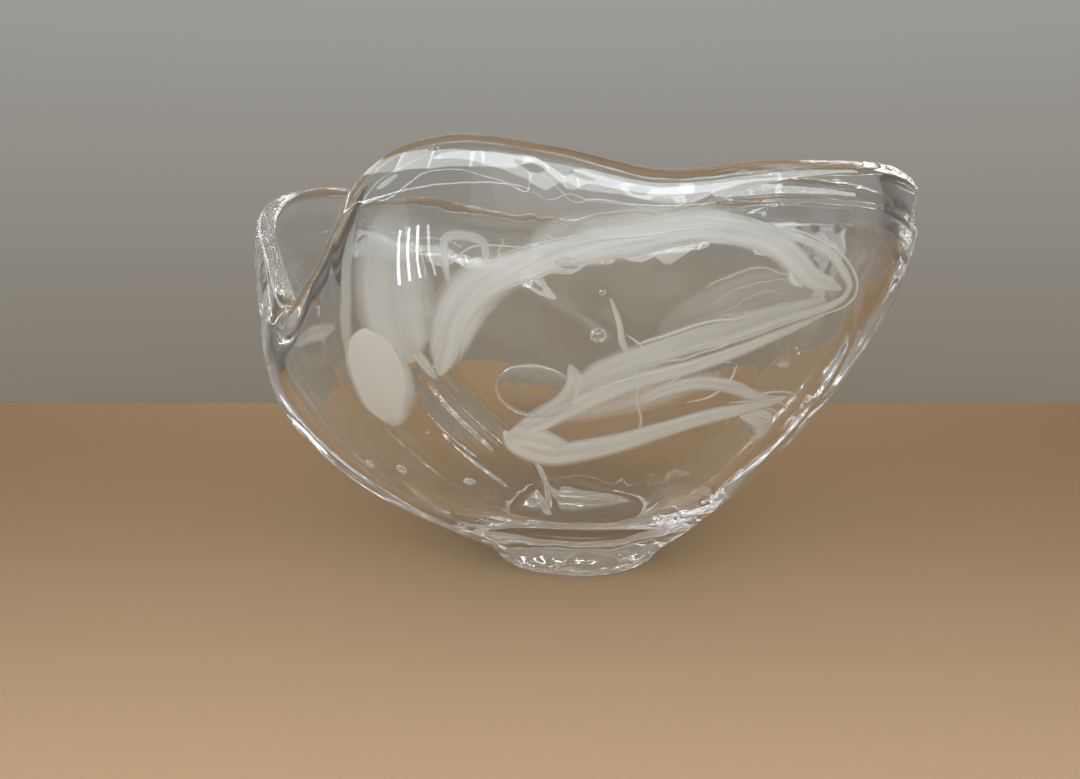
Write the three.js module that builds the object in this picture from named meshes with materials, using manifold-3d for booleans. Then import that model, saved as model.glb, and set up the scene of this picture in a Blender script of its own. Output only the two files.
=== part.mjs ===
// Free-blown art glass bowl: clear cased glass with white enamel glass trailed between its two layers,
// a strongly lobed rim and a low applied foot.
// Millimetres, +Z up.  The origin is the centre of the foot's underside and +X runs along the length.
// Azimuths are in degrees from +X.  "Climb" runs up the wall, 0 at the neck and 1 at the rim, and
// "depth" is the distance from the wall's outer face towards the inside of the bowl.

import * as THREE from 'three';
import { mergeVertices } from 'three/addons/utils/BufferGeometryUtils.js';
import Module from 'manifold-3d';

const wasm = await Module();
wasm.setup();

// ---- driving dimensions -------------------------------------------------------------------------

const FIT_GAP = 0.3;

const FOOT_RADIUS = 21;
const FOOT_HEIGHT = 4.2;
const FOOT_EDGE_ROUND = 1.2;

const NECK_RADIUS = 23.5;
const NECK_HEIGHT = FOOT_HEIGHT + FIT_GAP;
const NECK_RISE = 0.07;

const BASE_THICKNESS = 9;
const RIM_THICKNESS = 5.6;
const CASING_SHARE = 0.5;
const LIP_CLIMB = 0.955;
const LIP_SEAM_CLIMB = 0.003;

// The lobed wall.  At each azimuth: the rim's radius and height, how far the belly bulges past the
// rim, how far out the wall runs before it climbs, and the height of the belly as a share of the rim's.
const LOBES = [
  { azimuth: 0, radius: 84, height: 93, belly: 6, low: 0.25, high: 0.62 },
  { azimuth: 22, radius: 87, height: 97, belly: 6, low: 0.25, high: 0.62 },
  { azimuth: 45, radius: 85, height: 97, belly: 5, low: 0.25, high: 0.62 },
  { azimuth: 70, radius: 77, height: 89, belly: 5, low: 0.25, high: 0.62 },
  { azimuth: 100, radius: 74, height: 83, belly: 5, low: 0.27, high: 0.62 },
  { azimuth: 125, radius: 86, height: 90, belly: 4, low: 0.3, high: 0.6 },
  { azimuth: 145, radius: 97, height: 94, belly: 3, low: 0.38, high: 0.58 },
  { azimuth: 163, radius: 92, height: 88, belly: 8, low: 0.42, high: 0.56 },
  { azimuth: 177, radius: 81, height: 76, belly: 13, low: 0.44, high: 0.56 },
  { azimuth: 189, radius: 73, height: 66, belly: 20, low: 0.44, high: 0.56 },
  { azimuth: 201, radius: 66, height: 77, belly: 17, low: 0.42, high: 0.56 },
  { azimuth: 218, radius: 63, height: 94, belly: 13, low: 0.38, high: 0.58 },
  { azimuth: 242, radius: 63, height: 102, belly: 10, low: 0.32, high: 0.6 },
  { azimuth: 262, radius: 63, height: 99.5, belly: 8, low: 0.29, high: 0.62 },
  { azimuth: 283, radius: 62, height: 95, belly: 8, low: 0.27, high: 0.62 },
  { azimuth: 306, radius: 66, height: 97, belly: 8, low: 0.26, high: 0.62 },
  { azimuth: 332, radius: 76, height: 97, belly: 8, low: 0.25, high: 0.62 },
];

// How finely the faceted solids follow the curved glass.
const AZIMUTH_STEPS = 48;
const CLIMB_STEPS = 7;
const LIP_STEPS = 3;
const FOOT_STEPS = 40;
const FOOT_EDGE_STEPS = 3;
const TRAIL_STEPS = 12;
const TRAIL_SIDES = 6;
const BUBBLE_STEPS = 5;

// How abruptly a trail's ends round off, and the short steps that give directions along the wall.
const END_SHARPNESS = 6;
const AZIMUTH_NUDGE = 0.5;
const CLIMB_NUDGE = 0.005;
const ROUTE_NUDGE = 0.01;

// White trails between the layers.  Each route is [azimuth, climb, half width] and each bit of glass
// has its own thickness.  An earlier trail in the list is laid first and keeps its full shape.
const TRAILS = [
  {
    name: 'white_drop',
    thickness: 1.8,
    route: [
      [223.5, 0.718, 4.3], [222.5, 0.685, 7.4], [221.5, 0.645, 8.1], [219.5, 0.603, 7.1], [218.5, 0.568, 5],
      [217.5, 0.537, 1.8],
    ],
  },
  {
    name: 'white_veil',
    thickness: 1.2,
    route: [[236, 0.9, 4.4], [234, 0.863, 7.5], [232.5, 0.818, 9], [230.5, 0.77, 9], [229.5, 0.735, 8.2]],
  },
  {
    name: 'left_streak',
    thickness: 1.2,
    route: [[219.5, 0.93, 1.2], [217, 0.87, 1.7], [215.5, 0.8, 1.8], [213.5, 0.735, 1.5], [211.5, 0.68, 1]],
  },
  {
    name: 'left_band',
    thickness: 1.2,
    route: [[198, 0.84, 1.2], [202, 0.825, 1.8], [206, 0.805, 1.8], [210, 0.785, 1.2]],
  },
  {
    name: 'upper_ribbon',
    thickness: 1.6,
    route: [
      [237.5, 0.63, 1.7], [240, 0.667, 4], [242.8, 0.71, 4.8], [246.5, 0.753, 4.8], [251, 0.782, 4.2],
      [258, 0.815, 3], [266.5, 0.848, 2.6], [277, 0.888, 2.4], [288, 0.915, 2.2], [298, 0.897, 2.3],
      [307.5, 0.868, 2.5], [314.5, 0.83, 2.5], [320.5, 0.792, 2], [324, 0.768, 1.2],
    ],
  },
  {
    name: 'return_band',
    thickness: 1.2,
    route: [
      [319, 0.755, 1.7], [312.5, 0.743, 2.5], [302.5, 0.725, 3.1], [292, 0.708, 3.2], [282.5, 0.682, 3.4],
      [273.5, 0.645, 3.2], [268.5, 0.62, 2.2],
    ],
  },
  {
    name: 'lower_ribbon',
    thickness: 1.6,
    route: [
      [250.5, 0.503, 1.3], [252.5, 0.48, 2.8], [257.5, 0.46, 2.6], [263.5, 0.455, 2.2], [274, 0.482, 1.9],
      [286, 0.517, 1.7], [298, 0.54, 1.5], [309, 0.552, 1.3], [318, 0.562, 1.1],
    ],
  },
  {
    name: 'middle_ribbon',
    thickness: 1.4,
    route: [
      [255.5, 0.512, 1.6], [260, 0.532, 1.9], [266.5, 0.565, 1.9], [275, 0.604, 1.8], [283, 0.637, 1.8],
      [293.5, 0.66, 1.6], [304, 0.678, 1.5], [314, 0.705, 1.2], [321, 0.73, 0.9],
    ],
  },
  {
    name: 'third_ribbon',
    thickness: 1.4,
    route: [[282, 0.585, 0.9], [287, 0.61, 1.2], [294.5, 0.622, 1.3], [303.5, 0.607, 1.3], [312, 0.583, 1]],
  },
  {
    name: 'brushed_hook',
    thickness: 1.4,
    route: [[312, 0.537, 1.2], [315.5, 0.527, 1.9], [319, 0.512, 1.9], [321, 0.49, 1.4], [320, 0.473, 0.8]],
  },
  {
    name: 'crossing_strand',
    thickness: 1,
    route: [[273.5, 0.785, 0.6], [275.5, 0.755, 0.7], [276.8, 0.73, 0.8]],
  },
  {
    name: 'looped_thread',
    thickness: 1,
    route: [[242.5, 0.825, 1], [243, 0.848, 1], [247, 0.857, 1], [250.8, 0.85, 0.9]],
  },
];

// Air bubbles caught between the layers: where each lies, its half length along the wall, its half
// height up the wall and its half thickness.
const BUBBLES = [
  { azimuth: 258.5, climb: 0.59, halfLength: 8.2, halfHeight: 6.6, halfThickness: 0.9 },
  { azimuth: 272, climb: 0.693, halfLength: 1.8, halfHeight: 1.7, halfThickness: 1.2 },
  { azimuth: 266, climb: 0.822, halfLength: 2.4, halfHeight: 1.3, halfThickness: 1.1 },
  { azimuth: 209.5, climb: 0.422, halfLength: 1.5, halfHeight: 1.4, halfThickness: 1.3 },
  { azimuth: 200, climb: 0.463, halfLength: 1.4, halfHeight: 1.4, halfThickness: 1.2 },
  { azimuth: 233, climb: 0.37, halfLength: 1.7, halfHeight: 1.1, halfThickness: 1.1 },
];

// ---- materials ----------------------------------------------------------------------------------

const clearGlass = () => new THREE.MeshStandardMaterial({
  color: 0xe3e8e4, roughness: 0.04, metalness: 0, transparent: true, opacity: 0.3,
});
const whiteGlass = () => new THREE.MeshStandardMaterial({ color: 0xe4dfd0, roughness: 0.2, metalness: 0 });
const paleGlass = () => new THREE.MeshStandardMaterial({
  color: 0xd6d4c9, roughness: 0.2, metalness: 0, transparent: true, opacity: 0.7,
});
const PALE_TRAILS = ['white_veil', 'left_streak', 'left_band', 'return_band'];

// ---- the wall's shape ---------------------------------------------------------------------------

// Smooth periodic curve through one property of the lobes (cubic Hermite with averaged slopes).
function lobeCurve(property) {
  const count = LOBES.length;
  const azimuthAt = (i) => LOBES[(i + count) % count].azimuth + 360 * Math.floor(i / count);
  const valueAt = (i) => LOBES[(i + count) % count][property];
  const slopeAt = (i) => {
    const before = azimuthAt(i) - azimuthAt(i - 1);
    const after = azimuthAt(i + 1) - azimuthAt(i);
    const slopeBefore = (valueAt(i) - valueAt(i - 1)) / before;
    const slopeAfter = (valueAt(i + 1) - valueAt(i)) / after;
    return (slopeBefore * after + slopeAfter * before) / (before + after);
  };
  return (azimuth) => {
    const turn = THREE.MathUtils.euclideanModulo(azimuth, 360);
    let i = count - 1;
    while (azimuthAt(i) > turn) i -= 1;
    const span = azimuthAt(i + 1) - azimuthAt(i);
    const t = (turn - azimuthAt(i)) / span;
    const t2 = t * t;
    const t3 = t2 * t;
    return (2 * t3 - 3 * t2 + 1) * valueAt(i) + (t3 - 2 * t2 + t) * span * slopeAt(i)
      + (3 * t2 - 2 * t3) * valueAt(i + 1) + (t3 - t2) * span * slopeAt(i + 1);
  };
}

const rimRadius = lobeCurve('radius');
const rimHeight = lobeCurve('height');
const bellyBulge = lobeCurve('belly');
const lowReach = lobeCurve('low');
const bellyHeight = lobeCurve('high');

// The wall's outer profile at one azimuth, a Bezier curve of (radius, height) from neck to rim.
function outerProfile(azimuth) {
  const radius = rimRadius(azimuth);
  const rise = rimHeight(azimuth) - NECK_HEIGHT;
  return new THREE.CubicBezierCurve(
    new THREE.Vector2(NECK_RADIUS, NECK_HEIGHT),
    new THREE.Vector2(
      NECK_RADIUS + lowReach(azimuth) * (radius - NECK_RADIUS),
      NECK_HEIGHT + NECK_RISE * rise,
    ),
    new THREE.Vector2(radius + bellyBulge(azimuth), NECK_HEIGHT + bellyHeight(azimuth) * rise),
    new THREE.Vector2(radius, NECK_HEIGHT + rise),
  );
}

const wallThickness = (climb) => RIM_THICKNESS + (BASE_THICKNESS - RIM_THICKNESS) * (1 - climb) ** 2;
const casingThickness = (climb) => CASING_SHARE * wallThickness(climb);

// A point of the profile plane, `depth` inside the outer face and `along` further up its tangent.
function profilePoint(azimuth, climb, depth, along = 0) {
  const curve = outerProfile(azimuth);
  const tangent = curve.getTangent(climb);
  const point = curve.getPoint(climb).addScaledVector(tangent, along);
  return point.add(new THREE.Vector2(-tangent.y, tangent.x).multiplyScalar(depth));
}

function inSpace(azimuth, profile) {
  const angle = THREE.MathUtils.degToRad(azimuth);
  return new THREE.Vector3(profile.x * Math.cos(angle), profile.x * Math.sin(angle), profile.y);
}

const wallPoint = (azimuth, climb, depth) => inSpace(azimuth, profilePoint(azimuth, climb, depth));

// ---- mesh helpers -------------------------------------------------------------------------------

function closedGeometry(points, triangles) {
  const geometry = new THREE.BufferGeometry();
  const coordinates = points.flatMap((point) => point.toArray());
  geometry.setAttribute('position', new THREE.Float32BufferAttribute(coordinates, 3));
  geometry.setIndex(triangles.flat());
  return geometry;
}

// Rings of equal length joined into a tube and closed at both ends by one point each.  From the ring
// numbered `turned` on, the four-sided cells are split along their other diagonal.
function skinRings(firstTip, rings, lastTip, turned = rings.length) {
  const sides = rings[0].length;
  const points = [firstTip, ...rings.flat(), lastTip];
  const at = (ring, side) => 1 + ring * sides + (side % sides);
  const triangles = [];
  for (let side = 0; side < sides; side += 1) {
    triangles.push([0, at(0, side + 1), at(0, side)]);
    for (let ring = 0; ring + 1 < rings.length; ring += 1) {
      const cell = [at(ring, side), at(ring, side + 1), at(ring + 1, side + 1), at(ring + 1, side)];
      const [a, b, c, d] = ring < turned ? cell : [cell[1], cell[2], cell[3], cell[0]];
      triangles.push([a, b, d], [b, c, d]);
    }
    triangles.push([at(rings.length - 1, side), at(rings.length - 1, side + 1), points.length - 1]);
  }
  return closedGeometry(points, triangles);
}

function toSolid(geometry) {
  const bare = geometry.clone();
  bare.deleteAttribute('normal');
  bare.deleteAttribute('uv');
  const merged = mergeVertices(bare);
  return new wasm.Manifold(new wasm.Mesh({
    numProp: 3,
    vertProperties: new Float32Array(merged.attributes.position.array),
    triVerts: new Uint32Array(merged.index.array),
  }));
}

function toGeometry(solid) {
  const mesh = solid.getMesh();
  const geometry = new THREE.BufferGeometry();
  geometry.setAttribute('position', new THREE.BufferAttribute(mesh.vertProperties, 3));
  geometry.setIndex(new THREE.BufferAttribute(mesh.triVerts, 1));
  return geometry;
}

const cut = (solid, tools) => tools.reduce((left, tool) => left.subtract(tool), solid);

function namedMesh(name, geometry, material) {
  const mesh = new THREE.Mesh(geometry, material);
  mesh.name = name;
  return mesh;
}

// ---- the two layers of clear glass --------------------------------------------------------------

const climbs = Array.from({ length: CLIMB_STEPS + 1 }, (_, i) => (LIP_CLIMB * i) / CLIMB_STEPS);

// A bowl-shaped shell from one profile per azimuth.  A profile runs from the axis under the base, up
// the outer face, over the top and down the inner face back to the axis.  The inner face is split
// the other way, so that the facets of facing surfaces match and the gap between them stays even.
function bowlShell(profileAt, bottom, top) {
  const profiles = Array.from({ length: AZIMUTH_STEPS }, (_, i) => {
    const azimuth = (360 * i) / AZIMUTH_STEPS;
    return profileAt(azimuth).map((point) => inSpace(azimuth, point));
  });
  const rings = profiles[0].map((_, row) => profiles.map((profile) => profile[row]));
  return skinRings(new THREE.Vector3(0, 0, bottom), rings, new THREE.Vector3(0, 0, top), climbs.length);
}

// The outer gather, from the neck up over the full-width rounded lip and down behind the inner wall.
function casingShell() {
  const lip = (azimuth) => Array.from({ length: LIP_STEPS + 1 }, (_, i) => {
    const swing = (Math.PI * i) / LIP_STEPS;
    const half = wallThickness(1) / 2;
    return profilePoint(azimuth, 1, half * (1 - Math.cos(swing)), half * Math.sin(swing));
  });
  const profile = (azimuth) => [
    ...climbs.map((climb) => profilePoint(azimuth, climb, 0)),
    ...lip(azimuth),
    profilePoint(azimuth, LIP_CLIMB, wallThickness(LIP_CLIMB)),
    ...climbs.toReversed().map((climb) => profilePoint(azimuth, climb, casingThickness(climb))),
  ];
  return bowlShell(profile, NECK_HEIGHT, NECK_HEIGHT + casingThickness(0));
}

// The inner gather, a plain cup that ends a fit gap under the casing's lip.
function gatherShell() {
  const own = climbs.map((climb) => Math.min(climb, LIP_CLIMB - LIP_SEAM_CLIMB));
  const profile = (azimuth) => [
    ...own.map((climb) => profilePoint(azimuth, climb, casingThickness(climb) + FIT_GAP)),
    ...own.toReversed().map((climb) => profilePoint(azimuth, climb, wallThickness(climb))),
  ];
  return bowlShell(profile, NECK_HEIGHT + casingThickness(0) + FIT_GAP, NECK_HEIGHT + wallThickness(0));
}

// ---- white trails -------------------------------------------------------------------------------

// Trails and bubbles lie at mid-gap between the two layers.
const seamDepth = (climb) => casingThickness(climb) + FIT_GAP / 2;
const seamPoint = (azimuth, climb) => wallPoint(azimuth, climb, seamDepth(climb));

// The step in [azimuth, climb] that moves one millimetre sideways from a route across the wall.
function sidewaysStep(azimuth, climb, depth, forward) {
  const here = wallPoint(azimuth, climb, depth);
  const east = wallPoint(azimuth + AZIMUTH_NUDGE, climb, depth).sub(here).divideScalar(AZIMUTH_NUDGE);
  const up = wallPoint(azimuth, climb + CLIMB_NUDGE, depth).sub(here).divideScalar(CLIMB_NUDGE);
  const side = new THREE.Vector3().crossVectors(east, up).cross(forward).normalize();
  const mixed = east.dot(up);
  const scale = east.lengthSq() * up.lengthSq() - mixed * mixed;
  return [
    (side.dot(east) * up.lengthSq() - side.dot(up) * mixed) / scale,
    (side.dot(up) * east.lengthSq() - side.dot(east) * mixed) / scale,
  ];
}

// A trail with a flat elliptical section, rounded off at both ends.  `grow` makes the same trail
// larger all round, which gives the pocket that it lies in.
function trailSolid({ route, thickness }, grow) {
  const stops = route.map((stop) => new THREE.Vector3(...stop));
  const curve = new THREE.CatmullRomCurve3(stops, false, 'catmullrom');
  const centre = (u) => {
    const stop = curve.getPoint(THREE.MathUtils.clamp(u, 0, 1));
    return seamPoint(stop.x, stop.y);
  };
  const ring = (u) => {
    const stop = curve.getPoint(u);
    const depth = seamDepth(stop.y);
    const forward = centre(u + ROUTE_NUDGE).sub(centre(u - ROUTE_NUDGE)).normalize();
    const [azimuthStep, climbStep] = sidewaysStep(stop.x, stop.y, depth, forward);
    const roundness = Math.sqrt(1 - Math.abs(2 * u - 1) ** END_SHARPNESS);
    const halfWidth = stop.z * roundness + grow;
    const halfThickness = (thickness / 2) * roundness + grow;
    return Array.from({ length: TRAIL_SIDES }, (_, i) => {
      const swing = (2 * Math.PI * i) / TRAIL_SIDES;
      const side = halfWidth * Math.cos(swing);
      return wallPoint(
        stop.x + side * azimuthStep,
        stop.y + side * climbStep,
        depth - halfThickness * Math.sin(swing),
      );
    });
  };
  const tip = (end, inner) => {
    const outward = centre(end).sub(centre(inner)).normalize();
    return centre(end).addScaledVector(outward, grow);
  };
  const swings = Array.from({ length: TRAIL_STEPS - 1 }, (_, i) => (Math.PI * (i + 1)) / TRAIL_STEPS);
  const rings = swings.map((swing) => ring((1 - Math.cos(swing)) / 2));
  return toSolid(skinRings(tip(0, ROUTE_NUDGE), rings, tip(1, 1 - ROUTE_NUDGE)));
}

// ---- bubbles and foot ---------------------------------------------------------------------------

function bubbleSolid({ azimuth, climb, halfLength, halfHeight, halfThickness }) {
  const middle = seamPoint(azimuth, climb);
  const east = seamPoint(azimuth + AZIMUTH_NUDGE, climb).sub(middle).normalize();
  const upward = seamPoint(azimuth, climb + CLIMB_NUDGE).sub(middle);
  const inward = east.clone().cross(upward).normalize();
  const up = inward.clone().cross(east);
  const place = new THREE.Matrix4().makeBasis(
    east.multiplyScalar(halfLength),
    up.multiplyScalar(halfHeight),
    inward.multiplyScalar(halfThickness),
  ).setPosition(middle);
  return toSolid(new THREE.SphereGeometry(1, 2 * BUBBLE_STEPS, BUBBLE_STEPS).applyMatrix4(place));
}

// The applied foot: a flat ground underside, a rounded lower edge and a flare up to the neck.
function footGeometry() {
  const edge = Array.from({ length: FOOT_EDGE_STEPS + 1 }, (_, i) => {
    const swing = (Math.PI / 2) * (i / FOOT_EDGE_STEPS);
    return new THREE.Vector2(
      FOOT_RADIUS - FOOT_EDGE_ROUND * (1 - Math.sin(swing)),
      FOOT_EDGE_ROUND * (1 - Math.cos(swing)),
    );
  });
  return new THREE.LatheGeometry([
    new THREE.Vector2(0, 0),
    ...edge,
    new THREE.Vector2(NECK_RADIUS, FOOT_HEIGHT),
    new THREE.Vector2(0, FOOT_HEIGHT),
  ], FOOT_STEPS);
}

// ---- the bowl -----------------------------------------------------------------------------------

const pockets = TRAILS.map((trail) => trailSolid(trail, FIT_GAP));
const voids = [...pockets, ...BUBBLES.map(bubbleSolid)];

const bowl = new THREE.Group();
bowl.add(namedMesh('outer_casing', toGeometry(cut(toSolid(casingShell()), voids)), clearGlass()));
bowl.add(namedMesh('inner_gather', toGeometry(cut(toSolid(gatherShell()), voids)), clearGlass()));

const foot = namedMesh('applied_foot', footGeometry(), clearGlass());
foot.rotation.x = Math.PI / 2;
bowl.add(foot);

const whiteWork = new THREE.Group();
TRAILS.forEach((trail, i) => {
  const solid = cut(trailSolid(trail, 0), pockets.slice(0, i));
  const material = PALE_TRAILS.includes(trail.name) ? paleGlass() : whiteGlass();
  whiteWork.add(namedMesh(trail.name, toGeometry(solid), material));
});
bowl.add(whiteWork);

export default bowl;
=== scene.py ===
import math

import bpy
import numpy as np
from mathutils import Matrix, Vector, noise


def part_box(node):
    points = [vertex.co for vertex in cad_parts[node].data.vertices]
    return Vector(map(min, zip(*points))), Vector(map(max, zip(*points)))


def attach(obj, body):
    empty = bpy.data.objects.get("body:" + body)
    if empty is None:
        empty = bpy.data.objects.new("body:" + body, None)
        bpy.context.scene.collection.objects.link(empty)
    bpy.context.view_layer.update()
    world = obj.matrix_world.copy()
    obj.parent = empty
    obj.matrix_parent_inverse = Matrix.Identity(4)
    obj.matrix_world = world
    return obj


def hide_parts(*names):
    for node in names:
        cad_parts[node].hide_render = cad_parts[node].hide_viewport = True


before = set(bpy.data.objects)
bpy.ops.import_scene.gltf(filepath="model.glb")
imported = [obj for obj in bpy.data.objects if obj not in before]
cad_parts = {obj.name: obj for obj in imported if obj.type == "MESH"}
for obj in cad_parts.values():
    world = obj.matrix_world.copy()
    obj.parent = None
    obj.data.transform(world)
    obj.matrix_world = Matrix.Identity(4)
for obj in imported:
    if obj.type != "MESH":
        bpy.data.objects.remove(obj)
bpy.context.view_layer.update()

MM = 0.001

# ---- the bowl's shape, in millimetres and degrees ---------------------------------------------------
# Azimuths run from +X.  "Climb" runs up the wall, 0 at the neck and 1 at the rim.  "Depth" is measured
# from the wall's outer face towards the inside of the bowl.

FOOT_LOW, FOOT_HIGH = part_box("applied_foot")
CASING_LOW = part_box("outer_casing")[0]
NECK_RADIUS = (FOOT_HIGH.x - FOOT_LOW.x) / 2 / MM
NECK_HEIGHT = CASING_LOW.z / MM
FOOT_RADIUS = NECK_RADIUS - 2.5
FOOT_EDGE_ROUND = 1.2
FOOT_HOLLOW = 0.9
# The cove runs from the foot's edge up to this climb, and its curve's handles reach this far.
COVE_CLIMB = 0.1
COVE_LOW_REACH = (1.1, 1.6)
COVE_HIGH_REACH = 4
# The inner wall turns into the floor at this climb.
FLOOR_CLIMB = 0.24
FLOOR_HEIGHT = 12.2
NECK_RISE = 0.07
BASE_THICKNESS = 9
RIM_THICKNESS = 5.6
CASING_SHARE = 0.5

# azimuth, rim radius, rim height, bulge of the belly past the rim, reach before the wall climbs,
# height of the belly as a share of the rim's
LOBES = np.array([
    (0, 84, 93, 6, 0.25, 0.62),
    (22, 87, 97, 6, 0.25, 0.62),
    (45, 85, 97, 5, 0.25, 0.62),
    (70, 77, 89, 5, 0.25, 0.62),
    (100, 74, 83, 5, 0.27, 0.62),
    (125, 86, 90, 4, 0.3, 0.6),
    (145, 97, 94, 3, 0.38, 0.58),
    (163, 92, 88, 8, 0.42, 0.56),
    (177, 81, 76, 13, 0.44, 0.56),
    (189, 73, 66, 20, 0.44, 0.56),
    (201, 66, 77, 17, 0.42, 0.56),
    (218, 63, 94, 13, 0.38, 0.58),
    (242, 63, 102, 10, 0.32, 0.6),
    (262, 63, 99.5, 8, 0.29, 0.62),
    (283, 62, 95, 8, 0.27, 0.62),
    (306, 66, 97, 8, 0.26, 0.62),
    (332, 76, 97, 8, 0.25, 0.62),
])

# How finely the clear glass is meshed, and where the rings under the foot lie from its centre outwards.
AZIMUTH_STEPS = 600
WALL_STEPS = 170
LIP_STEPS = 16
FOOT_RINGS = (0.15, 0.35, 0.55, 0.75, 0.9)
FOOT_EDGE_STEPS = 7
COVE_STEPS = 14
FLOOR_STEPS = 16

# Small moves along the wall, in degrees and in climb, that show which way its surface runs.
AZIMUTH_NUDGE = 0.5
CLIMB_NUDGE = 0.005
SLOPE_NUDGE = 0.01


def lobe_values(azimuth):
    """Every lobe property at the given azimuths, on smooth periodic curves through the table."""
    knots = np.concatenate([LOBES[-1:, 0] - 360, LOBES[:, 0], LOBES[:2, 0] + 360])
    values = np.concatenate([LOBES[-1:, 1:], LOBES[:, 1:], LOBES[:2, 1:]])
    spans = np.diff(knots)[:, None]
    slopes = np.diff(values, axis=0) / spans
    knot_slopes = (slopes[:-1] * spans[1:] + slopes[1:] * spans[:-1]) / (spans[:-1] + spans[1:])
    turn = np.mod(azimuth, 360)
    i = np.clip(np.searchsorted(LOBES[:, 0], turn, side="right") - 1, 0, len(LOBES) - 1)
    span = spans[i + 1]
    t = ((turn - knots[i + 1]) / span[..., 0])[..., None]
    t2, t3 = t * t, t * t * t
    return ((2 * t3 - 3 * t2 + 1) * values[i + 1] + (t3 - 2 * t2 + t) * span * knot_slopes[i]
            + (3 * t2 - 2 * t3) * values[i + 2] + (t3 - t2) * span * knot_slopes[i + 1])


def wall_thickness(climb):
    """The whole wall's thickness in mm: heavy at the base and thinner towards the rim."""
    return RIM_THICKNESS + (BASE_THICKNESS - RIM_THICKNESS) * (1 - climb) ** 2


def layer_depth(climb):
    """Depth of the seam between the two layers of clear glass, where the white glass lies."""
    return CASING_SHARE * wall_thickness(climb)


def wall_profile(azimuth, climb, depth=0.0, along=0.0):
    """(radius, height) on the wall in mm: a Bezier profile, offset inwards and along its tangent."""
    azimuth, climb = np.broadcast_arrays(np.asarray(azimuth, float), np.asarray(climb, float))
    radius, height, belly, low, high = np.moveaxis(lobe_values(azimuth), -1, 0)
    rise = height - NECK_HEIGHT
    handles = np.stack([
        np.stack([np.full_like(radius, NECK_RADIUS), np.full_like(radius, NECK_HEIGHT)], -1),
        np.stack([NECK_RADIUS + low * (radius - NECK_RADIUS), NECK_HEIGHT + NECK_RISE * rise], -1),
        np.stack([radius + belly, NECK_HEIGHT + high * rise], -1),
        np.stack([radius, height], -1),
    ])
    t = climb[..., None]
    point = ((1 - t) ** 3 * handles[0] + 3 * t * (1 - t) ** 2 * handles[1]
             + 3 * t * t * (1 - t) * handles[2] + t ** 3 * handles[3])
    tangent = ((1 - t) ** 2 * (handles[1] - handles[0]) + 2 * t * (1 - t) * (handles[2] - handles[1])
               + t * t * (handles[3] - handles[2]))
    tangent /= np.linalg.norm(tangent, axis=-1, keepdims=True)
    inward = np.stack([-tangent[..., 1], tangent[..., 0]], -1)
    return point + inward * np.asarray(depth)[..., None] + tangent * np.asarray(along)[..., None]


def in_space(azimuth, profile):
    """Points in mm from their azimuths and their (radius, height)."""
    angle = np.radians(azimuth)
    radius, height = profile[..., 0], profile[..., 1]
    return np.stack([radius * np.cos(angle), radius * np.sin(angle), height], -1)


def wall_point(azimuth, climb, depth=0.0):
    """A point of the wall in space, in mm."""
    azimuth, climb = np.broadcast_arrays(np.asarray(azimuth, float), np.asarray(climb, float))
    return in_space(azimuth, wall_profile(azimuth, climb, depth))


# How far the hand-worked faces wander from the true curve, and how wide the lumps are.  The foot and
# the inner face at the back have smaller lumps as well, which fade in over the given lengths.
OUTER_SWELL, OUTER_LUMP = 0.3, 24
INNER_SWELL, INNER_LUMP = 0.5, 18
FOOT_SWELL, FOOT_LUMP = 0.45, 7
FOOT_SWELL_TOP, FOOT_SWELL_FADE = 14.4, 9
BACK_SWELL, BACK_LUMP = 0.5, 10
BACK_SWELL_FADE = 30
# The clear glass was twisted as it was drawn up, in radians per mm of height, and its flow lines are
# stretched upwards: they change this much more slowly than across.
TWIST = 0.016
UPWARD_SHARE = 0.15

# Cords and tool marks: soft ridges [azimuth, climb] with their width and height.
OUTER_CORDS = [
    ([(214, 0.97), (216, 0.8), (221, 0.6), (228, 0.42)], 2.0, 0.3),
    ([(292, 0.96), (315, 0.95), (335, 0.93), (352, 0.9)], 1.1, 0.3),
    ([(300, 0.91), (320, 0.9), (338, 0.87), (356, 0.84)], 1.3, -0.25),
    ([(183, 0.93), (195, 0.95), (208, 0.955), (222, 0.96)], 1.2, 0.3),
    ([(263, 0.995), (265.5, 0.94), (266.5, 0.89), (266, 0.83)], 2.6, 0.45),
    ([(259, 0.97), (261, 0.93), (261.5, 0.89), (260, 0.85)], 2.2, -0.3),
    ([(322, 0.8), (330, 0.66), (331, 0.5), (326, 0.36)], 1.6, 0.2),
]
INNER_CORDS = [
    ([(231, 0.64), (235.5, 0.555), (240, 0.5), (245, 0.45)], 1.0, -0.5),
    ([(229, 0.61), (233, 0.54), (238, 0.48), (243.5, 0.43)], 0.8, 0.45),
    ([(232, 0.62), (237, 0.55), (242, 0.495), (246.5, 0.46)], 0.7, 0.4),
    ([(227, 0.56), (232, 0.49), (238, 0.43)], 0.9, -0.4),
    ([(234, 0.6), (240, 0.53), (246, 0.48), (251, 0.44)], 0.8, -0.4),
    ([(236, 0.66), (242, 0.56), (248, 0.5), (252, 0.45)], 0.9, 0.35),
    ([(227, 0.5), (234, 0.41), (243, 0.33)], 1.0, 0.3),
    ([(255, 0.78), (264, 0.74), (272, 0.7), (277, 0.64)], 2.0, -0.4),
    ([(268, 0.74), (274, 0.715), (276, 0.69), (275, 0.66)], 0.8, 0.4),
    ([(273, 0.77), (277, 0.73), (279, 0.69), (278, 0.65)], 0.8, 0.4),
    ([(318, 0.8), (315, 0.66), (309, 0.52)], 1.5, -0.15),
    ([(205, 0.9), (207, 0.7), (214, 0.5), (224, 0.34)], 2.2, -0.35),
    ([(256, 0.45), (258.5, 0.4), (259, 0.33), (258.5, 0.27)], 0.9, -0.4),
    ([(253.5, 0.44), (256, 0.38), (257, 0.31), (256.5, 0.26)], 0.8, 0.35),
]

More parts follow.
